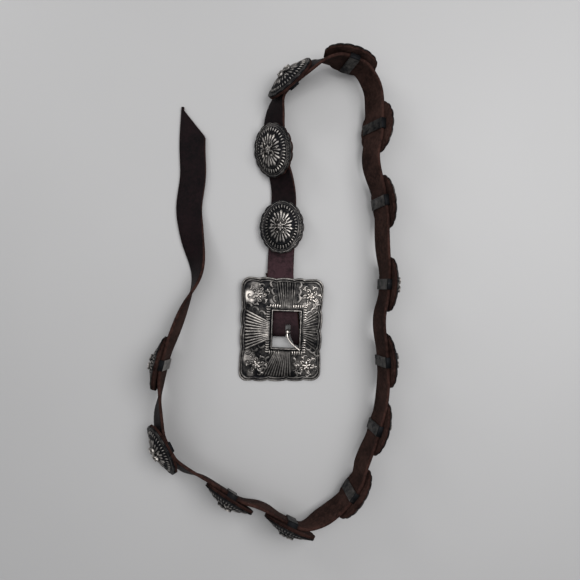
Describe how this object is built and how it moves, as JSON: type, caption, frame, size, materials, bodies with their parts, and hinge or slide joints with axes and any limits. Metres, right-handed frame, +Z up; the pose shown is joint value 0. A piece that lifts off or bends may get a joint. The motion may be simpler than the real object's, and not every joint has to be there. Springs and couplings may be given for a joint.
{
  "type": "concho belt",
  "caption": "Leather belt with a stamped rectangular buckle and a row of oval domed silver conchos on loops, lying open on a table.",
  "frame": {"origin": "middle of the underside of the whole belt as it lies", "axes": "+Z up from the table, +Y from the buckle towards the free end, +X to the side where the strap stands on edge"},
  "size_m": [0.2094, 0.3994, 0.0399],
  "materials": {
    "silver": "antiqued silver, bright on the raised parts and dark in the recesses",
    "strap_leather": "dark brown grained leather, flesh side left rough",
    "backing_leather": "dark brown leather with reddish cut edges"
  },
  "bodies": {
    "belt": {"strap": "strap_leather", "buckle": "silver", "concho_01": "silver", "backing_01": "backing_leather", "concho_02": "silver", "backing_02": "backing_leather", "concho_03": "silver", "backing_03": "backing_leather", "concho_04": "silver", "backing_04": "backing_leather", "concho_05": "silver", "backing_05": "backing_leather", "concho_06": "silver", "backing_06": "backing_leather", "concho_07": "silver", "backing_07": "backing_leather", "concho_08": "silver", "backing_08": "backing_leather", "concho_09": "silver", "backing_09": "backing_leather", "concho_10": "silver", "backing_10": "backing_leather", "concho_11": "silver", "backing_11": "backing_leather", "concho_12": "silver", "backing_12": "backing_leather", "concho_13": "silver", "backing_13": "backing_leather", "concho_14": "silver", "backing_14": "backing_leather"},
    "prong": {"prong": "silver"}
  },
  "joints": [
    {"name": "prong_hinge", "type": "hinge", "parent": "belt", "child": "prong", "pos_m": [0.0124, -0.03163, 0.00405], "axis": [-0.9992, 0.0401, 0], "range_deg": [0, 120]}
  ]
}
